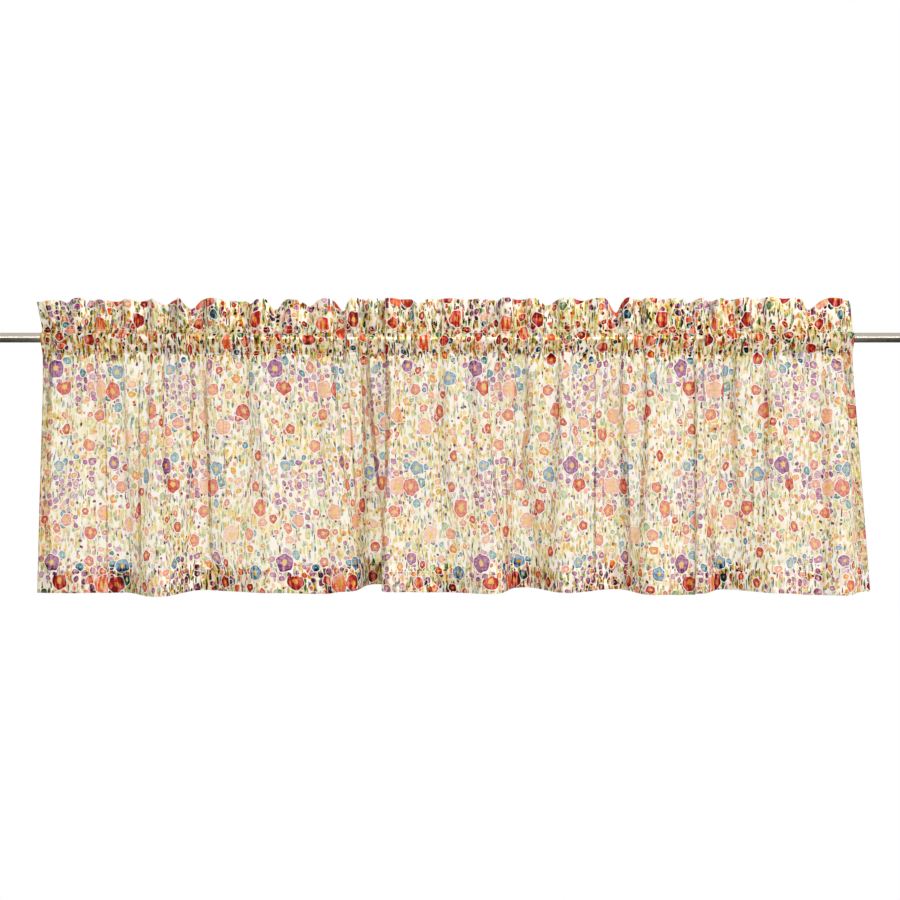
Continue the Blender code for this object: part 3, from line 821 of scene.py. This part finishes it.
def paint_motif(tree, group, motif, seed, place, amount, ground, inks):
    """Paint one kind of motif over the ground colour and return the new colour.

    The amount of dye varies with the motif's own tone and with the blots of the water.
    It is more along the outline, where dye gathers as it dries, and between the petals.
    """
    across, up = motif["cell"]
    found = add(tree, "Group", {
        "Place": place, "Seed": (0.0, 0.0, seed),
        "Cell": (across * MM, up * MM, 1.0),
        "Cells in repeat": (round(REPEAT[0] / across), round(REPEAT[1] / up), 1.0),
        "Stretch": (*motif["stretch"], 1.0), "Radius": motif["radius"] * MM,
        **{name.capitalize(): motif[name]
           for name in ("jitter", "turn", "spread", "petals", "lobe", "fill", "cluster")},
    }, node_tree=group, label=motif["name"]).outputs

    halo = add(tree, "MapRange", {0: found["Depth"], 1: -motif["halo"] * MM,
                                  2: (0.6 - motif["halo"]) * MM, 3: 0.0, 4: 0.9})
    ground = add(tree, "Mix", {0: halo, 6: ground, 7: tuple(inks.bare)}, data_type="RGBA").outputs[2]
    rim = add(tree, "MapRange", {0: found["Depth"], 1: 0.3 * MM, 2: 3.0 * MM, 3: 1.3, 4: 0.75})
    petal = add(tree, "MapRange", {0: found["Petal"], 1: -1.0, 2: 0.2, 3: 0.18, 4: 0.0})
    tone = add(tree, "MapRange", {0: found["Tone"], 1: 0.0, 2: 1.0, 3: 0.65, 4: 1.25})
    shaded = add(tree, "Math", {0: rim, 1: petal})
    local = add(tree, "Math", {0: amount, 1: shaded}, operation="MULTIPLY")
    dyed = add(tree, "Math", {0: local, 1: tone}, operation="MULTIPLY")
    ink = add(tree, "Gamma", {0: palette(tree, found["Choice"], motif["inks"], inks), 1: dyed})
    if motif["heart"]:
        heart = add(tree, "MapRange", {0: found["Share"], 1: motif["heart"] + 0.12,
                                       2: motif["heart"], 3: 0.0, 4: 0.9})
        ink = add(tree, "Mix", {0: heart, 6: ink, 7: tuple(getattr(inks, motif["heart_ink"]))},
                  data_type="RGBA").outputs[2]
    cover = add(tree, "MapRange", {0: found["Depth"], 1: 0.0, 2: 0.6 * MM, 3: 0.0, 4: 0.97})
    return add(tree, "Mix", {0: cover, 6: ground, 7: ink}, data_type="RGBA").outputs[2]


def place_in_print(tree, cloth):
    """Places on the cloth as the brush finds them, and as the motifs' strips find them.

    The brush wanders by a millimetre or two. Each strip of the motifs is one repeat wide
    and stands half a repeat higher than the one before it.
    """
    strokes = add(tree, "VectorMath", {0: cloth, 1: BRUSH_WAVES}, operation="MULTIPLY")
    drift = add(tree, "TexNoise", {"Vector": strokes, "Scale": 1.0, "Detail": 0.0},
                noise_dimensions="2D")
    wander = add(tree, "VectorMath", {0: drift.outputs["Color"], 1: (0.5, 0.5, 0.5)},
                 operation="SUBTRACT")
    moved = add(tree, "VectorMath", {0: wander, 1: BRUSH_REACH, 2: cloth}, operation="MULTIPLY_ADD")
    printed = add(tree, "VectorMath", {0: moved, 1: (REPEAT[0] * MM, PRINT_SHIFT * MM, 0.0)})
    strips = add(tree, "VectorMath", {0: printed, 1: (REPEAT[0] * MM, 1.0, 1.0)}, operation="DIVIDE")
    strip = add(tree, "Math", {0: add(tree, "SeparateXYZ", {0: strips})}, operation="FLOOR")
    drop = add(tree, "CombineXYZ", {1: strip})
    place = add(tree, "VectorMath", {0: drop, 1: (0.0, REPEAT[1] / 2 * MM, 0.0), 2: printed},
                operation="MULTIPLY_ADD")
    return moved, place


def colour_drifts(tree, cloth):
    """Three slow values, 0 to about 0.55, that pick the dabs' inks.

    They drift over about 80 mm, and a cosine up the cloth brings the first inks, the
    yellows, back twice in every repeat.
    """
    slow = add(tree, "TexNoise", {"Vector": cloth, "Scale": 12.0, "Detail": 1.0},
               noise_dimensions="2D")
    spread = add(tree, "MapRange", {"Vector": slow.outputs["Color"], 7: (0.3, 0.3, 0.3),
                                    8: (0.7, 0.7, 0.7), 9: (0.0, 0.0, 0.0),
                                    10: (0.55, 0.55, 0.55)}, data_type="FLOAT_VECTOR")
    up = add(tree, "SeparateXYZ", {0: cloth}).outputs[1]
    turn = add(tree, "Math", {0: up, 1: 4 * math.pi / (REPEAT[1] * MM), 2: YELLOW_TURN},
               operation="MULTIPLY_ADD")
    band = add(tree, "Math", {0: turn}, operation="COSINE").outputs[0]
    banded = add(tree, "VectorMath", {0: (-0.13, -0.08, -0.08), "Scale": band}, operation="SCALE")
    shifted = add(tree, "VectorMath", {0: spread.outputs["Vector"], 1: banded})
    return add(tree, "SeparateXYZ", {0: shifted}).outputs


def dye_amount(tree, cloth):
    """Amount of dye at each place: 1, and down to half in blots of 5 mm that water leaves.

    The threads take up more of it where they are thicker. Both ways of the weave have a
    thicker thread every 2 to 3 mm, some 40 mm long.
    """
    blots = add(tree, "TexNoise", {"Vector": cloth, "Scale": 210.0, "Detail": 2.0},
                noise_dimensions="2D")
    amount = add(tree, "MapRange", {0: blots.outputs["Fac"], 1: 0.3, 2: 0.7, 3: 1.0, 4: 0.5})
    for stretch in (THREAD_WAVES, (THREAD_WAVES[1], THREAD_WAVES[0], 1.0)):
        threads = add(tree, "VectorMath", {0: cloth, 1: stretch}, operation="MULTIPLY")
        uneven = add(tree, "TexNoise", {"Vector": threads, "Scale": 1.0, "Detail": 0.0},
                     noise_dimensions="2D")
        taken = add(tree, "MapRange", {0: uneven.outputs["Fac"], 1: 0.25, 2: 0.75, 3: 0.84, 4: 1.16})
        amount = add(tree, "Math", {0: amount, 1: taken}, operation="MULTIPLY")
    return amount


def meadow(tree, cloth, inks):
    """Colour that the printed dye lets through: the dabs, and the motifs over them."""
    moved, place = place_in_print(tree, cloth)
    drifts, amount = colour_drifts(tree, cloth), dye_amount(tree, cloth)
    dye = tuple(inks.bare)
    for dabs in DABS:
        dye = paint_dabs(tree, dabs, moved, drifts, amount, dye, inks)
    group = scattered_motif()
    for seed, motif in enumerate(MOTIFS, start=1):
        dye = paint_motif(tree, group, motif, seed, place, amount, dye, inks)
    return dye


def printed_voile(inks):
    """Polyester voile, an open plain weave, with a watercolour meadow printed in dye.

    The dye colours the threads right through, so light that passes the cloth takes the
    print's colours, and two layers show both prints multiplied, deeper than one. Some
    0.7 of what the eye gets comes straight through the gaps of a single flat layer. The
    rest is scattered by the threads, towards both sides. Where the cloth turns aside
    from the front, painted shade darkens the print and closes the gaps. Where it lies
    in pleats too fine for the mesh, they are drawn as streaks of deeper print: partly
    the dye of several layers, and partly painted shade.
    """
    material, tree = new_material("printed_polyester_voile")
    cloth = add(tree, "UVMap", uv_map="flat_cloth")
    # The first two attributes carry painted shade, the second one also the dye of more layers
    slant, bunched, doubled = (add(tree, "Attribute", attribute_name=name).outputs["Fac"]
                               for name in ("slant", "bunched", "doubled"))

    # Painted shade: the print is taken to a higher power in fine pleats and where the cloth turns aside from
    # the front, partly as the dye of more layers
    upright = add(tree, "VectorMath", {0: cloth, 1: PLEAT_WAVES}, operation="MULTIPLY")
    pleats = add(tree, "TexNoise", {"Vector": upright, "Scale": 1.0, "Detail": 1.0},
                 noise_dimensions="2D")
    more = add(tree, "MapRange", {0: pleats.outputs["Fac"], 1: 0.4, 2: 0.65, 3: 0.4, 4: 6.5})
    pleated = add(tree, "Math", {0: more, 1: bunched}, operation="MULTIPLY")
    slanted = add(tree, "Math", {0: slant, 1: 0.5, 2: 1.0}, operation="MULTIPLY_ADD")
    layers = add(tree, "Math", {0: pleated, 1: slanted})
    deep = add(tree, "Gamma", {0: meadow(tree, cloth, inks), 1: layers})
    dyed = add(tree, "Mix", {0: 1.0, 6: deep, 7: tuple(inks.cloth)}, data_type="RGBA",
               blend_type="MULTIPLY").outputs[2]

    # Painted shade: more light is scattered and less goes through where the cloth turns aside from the
    # front, so the folds' walls look darker
    closing_and_slant_shade = add(tree, "MapRange", {0: slant, 1: 0.0, 2: 1.2, 3: 0.30, 4: 0.8})
    closed = add(tree, "Math", {0: doubled, 1: closing_and_slant_shade}, use_clamp=True)
    through = add(tree, "Math", {0: doubled, 1: -0.7, 2: 0.4}, operation="MULTIPLY_ADD")
    front = add(tree, "BsdfPrincipled", {"Base Color": dyed, "Roughness": 0.8,
                                         "Specular IOR Level": 0.1})
    behind = add(tree, "BsdfTranslucent", {"Color": dyed})
    threads = add(tree, "MixShader", {0: through, 1: front, 2: behind})
    gaps = add(tree, "BsdfTransparent", {"Color": dyed})
    voile = add(tree, "MixShader", {0: closed, 1: gaps, 2: threads})
    add(tree, "OutputMaterial", {"Surface": voile})
    return material


def sewing_thread(thread):
    """Spun polyester thread, ivory and matt, with its twist as a fine diagonal bump."""
    material, tree = new_material("spun_polyester_thread")
    twist = add(tree, "TexWave", {"Vector": add(tree, "TexCoord").outputs["Object"], "Scale": 900.0},
                bands_direction="DIAGONAL")
    bump = add(tree, "Bump", {"Strength": 0.3, "Distance": 0.05 * MM, "Height": twist.outputs["Fac"]})
    surface = add(tree, "BsdfPrincipled", {"Base Color": tuple(thread), "Roughness": 0.75,
                                           "Normal": bump})
    add(tree, "OutputMaterial", {"Surface": surface})
    return material


def satin_nickel(rod):
    """Steel tube with satin nickel plating, drawn lengthways, so it mirrors softly."""
    material, tree = new_material("satin_nickel_plated_steel")
    place = add(tree, "TexCoord").outputs["Object"]
    drawn = add(tree, "VectorMath", {0: place, 1: (8.0, 900.0, 900.0)}, operation="MULTIPLY")
    grain = add(tree, "TexNoise", {"Vector": drawn, "Scale": 1.0, "Detail": 2.0})
    bump = add(tree, "Bump", {"Strength": 0.05, "Distance": 0.04 * MM, "Height": grain.outputs["Fac"]})
    worn = add(tree, "MapRange", {0: grain.outputs["Fac"], 1: 0.3, 2: 0.7, 3: 0.18, 4: 0.22})
    surface = add(tree, "BsdfPrincipled", {"Base Color": tuple(rod.nickel), "Metallic": 1.0,
                                           "Roughness": worn, "Normal": bump})
    add(tree, "OutputMaterial", {"Surface": surface})
    return material


def matt_paint(name, paint):
    """Matt emulsion on board."""
    material, tree = new_material(name)
    surface = add(tree, "BsdfPrincipled", {"Base Color": paint, "Roughness": 0.9})
    add(tree, "OutputMaterial", {"Surface": surface})
    return material


def glowing_card(brightness):
    """A card that glows evenly all over by itself: painted light that stands for a white card in the
    studio's light.
    """
    material, tree = new_material("lit_white_card")
    glow = add(tree, "Emission", {"Color": WHITE, "Strength": brightness})
    add(tree, "OutputMaterial", {"Surface": glow})
    return material


# ---------------------------------------------------------------- operators


class VALANCE_OT_make_studio(bpy.types.Operator):
    """Make the camera, the lamps, the room, the floor and the cards that the rod mirrors"""
    bl_idname = "valance.make_studio"
    bl_label = "Make Studio"

    def execute(self, context):
        scene, studio = context.scene, context.scene.valance_studio
        camera = bpy.data.objects.new("camera", bpy.data.cameras.new("camera"))
        camera.location = (studio.camera_x, -studio.distance, studio.camera_z)
        camera.rotation_euler = (math.pi / 2, 0.0, 0.0)
        camera.data.lens = camera.data.sensor_width * studio.distance / studio.frame_width
        scene.collection.objects.link(camera)
        scene.camera = camera
        scene.view_settings.view_transform = "Standard"

        # Each lamp's place, what it is aimed at, its size in metres and its power
        for name, place, aim, size, power in (
                ("key", (1.5, -2.6, 1.3), (0.0, 0.0, -0.2), (1.8, 1.8), studio.key),
                ("strip", (0.0, -3.4, 0.36), (0.0, 0.0, 0.0), (5.0, 0.5), studio.strip),
                ("glint", (0.0, -1.45, -0.40), (0.0, 0.0, 0.0), (1.46, 0.04), studio.glint)):
            light = bpy.data.lights.new(name, "AREA")
            light.shape = "RECTANGLE"
            light.size, light.size_y = size
            light.energy = power
            lamp = bpy.data.objects.new(name, light)
            lamp.visible_glossy = name != "key"
            lamp.visible_diffuse = name != "glint"
            lamp.visible_camera = False
            way = np.subtract(aim, place)
            lamp.location = place
            lamp.rotation_euler = (math.pi / 2 - math.atan2(-way[2], math.hypot(way[0], way[1])), 0.0,
                                   math.atan2(-way[0], way[1]))
            scene.collection.objects.link(lamp)

        world = bpy.data.worlds.new("studio")
        world.use_nodes = True
        tree = world.node_tree
        tree.nodes.clear()
        room = add(tree, "Background", {"Color": WHITE, "Strength": studio.ambient})
        paper = add(tree, "Background", {"Color": WHITE, "Strength": 1.0})
        seen = add(tree, "LightPath").outputs["Is Camera Ray"]
        mixed = add(tree, "MixShader", {0: seen, 1: room, 2: paper})
        add(tree, "OutputWorld", {"Surface": mixed})
        scene.world = world

        half = studio.floor_size / 2
        corners = [(x * half, y * half, -studio.floor_drop) for x, y in ((-1, -1), (1, -1), (1, 1), (-1, 1))]
        floor = make_object("floor", corners, [(0, 1, 2, 3)], matt_paint("matt_floor_paint", studio.floor))

        # Cards that bend round the rod and that only its reflections see, with the stretch of
        # X that each one covers and the angles above the view's own way that it bends over.
        # Dark ones stand round each end of the rod, from the front down and to the back, and
        # glowing ones under and over its middle, with a gap for the strip light: painted light
        # that stands for white cards in the studio's light.
        black, white = matt_paint("matt_black_card", studio.flag), glowing_card(studio.card)
        for name, (left, right), (start, end), paint in (
                ("flag", (-2.8, -1.25), (-5.0, -165.0), black),
                ("flag", (1.25, 2.8), (-5.0, -165.0), black),
                ("bright_card", (-1.25, 1.25), (-4.0, -170.0), white),
                ("bright_card", (-1.25, 1.25), (176.0, 14.0), white)):
            turn = np.radians(np.linspace(start, end, 36))[:, None]
            across = np.array((left, right))[None]
            card = np.stack(np.broadcast_arrays(across, -CARD_REACH * np.cos(turn),
                                                CARD_REACH * np.sin(turn)), axis=-1)
            card = make_object(name, card, grid_faces(*card.shape[:2]), paint)
            card.visible_camera = card.visible_diffuse = card.visible_transmission = False
            card.visible_shadow = False
        return {"FINISHED"}


class VALANCE_OT_make_cloth(bpy.types.Operator):
    """Make the valance's cloth, one thin sheet gathered on the rod"""
    bl_idname = "valance.make_cloth"
    bl_label = "Make Cloth"

    def execute(self, context):
        cloth = GatheredCloth(context.scene.valance_cloth)
        points, place, rows = cloth_grid(cloth)
        sheet = make_object("valance_cloth", points, grid_faces(*points.shape[:2]),
                            printed_voile(context.scene.valance_inks), uv=place,
                            **layering_and_shade(cloth, points, rows))
        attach(sheet, "root")
        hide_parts("valance")
        return {"FINISHED"}


class VALANCE_OT_make_stitching(bpy.types.Operator):
    """Make the stitches of the tunnel's two seams, the hem and the side hems"""
    bl_idname = "valance.make_stitching"
    bl_label = "Make Stitching"

    def execute(self, context):
        sizes = context.scene.valance_cloth
        cloth = GatheredCloth(sizes)
        points, place, rows = cloth_grid(cloth)
        down, right = np.gradient(points, axis=0), np.gradient(points, axis=1)
        outward = np.cross(down, right)
        outward /= np.linalg.norm(outward, axis=-1, keepdims=True)
        level = np.array([row[0] for row in rows])
        front = np.array([row[3] == 1 for row in rows])
        front[:5] = front[-2:] = False      # the raw edges that are turned in
        turned, lines = cloth.turned, []
        for height in (sizes.upper_seam, sizes.lower_seam, sizes.hem_turn - HEM_STITCHES):
            for shown in (front, ~front):
                row = np.flatnonzero(shown)[np.abs(level[shown] - height).argmin()]
                lines.append((points[row, turned:-turned], outward[row, turned:-turned]))
        for column in (2 * turned - 1, -2 * turned):
            lines.append((points[front, column], outward[front, column]))
        corners = np.concatenate([stitch_line(line, way, sizes.stitch_pitch) for line, way in lines])
        first = np.arange(0, len(corners), STITCH_CORNERS).tolist()
        faces = [tuple(i + k for k in face) for i in first for face in STITCH_FACES]
        thread = make_object("valance_stitching", corners, faces,
                             sewing_thread(context.scene.valance_inks.thread))
        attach(thread, "root")

        return {"FINISHED"}


class VALANCE_OT_make_rod(bpy.types.Operator):
    """Make the round rod with eased ends"""
    bl_idname = "valance.make_rod"
    bl_label = "Make Rod"

    def execute(self, context):
        rod = context.scene.valance_rod
        # Profile along X: a quarter circle at each end, and straight between them
        rings = 39
        ease = np.linspace(0.0, np.pi / 2, 6)
        reach = rod.length / 2 - rod.edge * (1.0 - np.sin(ease))
        radius = rod.radius - rod.edge * (1.0 - np.cos(ease))
        straight = np.linspace(-reach[0], reach[0], rings + 2)[1:-1]
        along = np.concatenate((-reach[::-1], straight, reach))
        radius = np.concatenate((radius[::-1], np.full(rings, rod.radius), radius))
        turn = np.linspace(0.0, 2 * np.pi, rod.sides, endpoint=False)
        points = np.stack((np.repeat(along[:, None], rod.sides, axis=1),
                           radius[:, None] * np.cos(turn), radius[:, None] * np.sin(turn)), axis=-1)
        faces = [tuple(f[::-1]) for f in grid_faces(*points.shape[:2], closed=True)]
        last = len(along) * rod.sides
        faces += [tuple(range(rod.sides))[::-1], tuple(range(last - rod.sides, last))]
        tube = make_object("satin_rod", points, faces, satin_nickel(rod))
        tube.data.set_sharp_from_angle(angle=math.radians(50))
        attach(tube, "root")
        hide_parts("curtain_rod")
        return {"FINISHED"}


class VALANCE_PT_pieces(bpy.types.Panel):
    """Buttons for the pieces, and their sizes and colours"""
    bl_label = "Window Valance"
    bl_space_type = "VIEW_3D"
    bl_region_type = "UI"
    bl_category = "Valance"

    def draw(self, context):
        for operator in OPERATORS:
            self.layout.operator(operator.bl_idname)
        for name, group in SETTINGS.items():
            box = self.layout.box()
            for prop in group.__annotations__:
                box.prop(getattr(context.scene, name), prop)


SETTINGS = {"valance_cloth": ClothSizes, "valance_inks": PrintInks, "valance_rod": RodSizes,
            "valance_studio": StudioSettings}
OPERATORS = (VALANCE_OT_make_studio, VALANCE_OT_make_cloth, VALANCE_OT_make_stitching,
             VALANCE_OT_make_rod)


def register():
    """Register the settings, the operators and the panel."""
    for cls in (*SETTINGS.values(), *OPERATORS, VALANCE_PT_pieces):
        bpy.utils.register_class(cls)
    for name, group in SETTINGS.items():
        setattr(bpy.types.Scene, name, PointerProperty(type=group))


def unregister():
    """Take them out again."""
    for name in SETTINGS:
        delattr(bpy.types.Scene, name)
    for cls in (VALANCE_PT_pieces, *OPERATORS[::-1], *reversed(SETTINGS.values())):
        bpy.utils.unregister_class(cls)


def main():
    """Make every piece in order."""
    register()
    bpy.ops.valance.make_studio()
    bpy.ops.valance.make_cloth()
    bpy.ops.valance.make_stitching()
    bpy.ops.valance.make_rod()


if __name__ == "__main__":
    main()
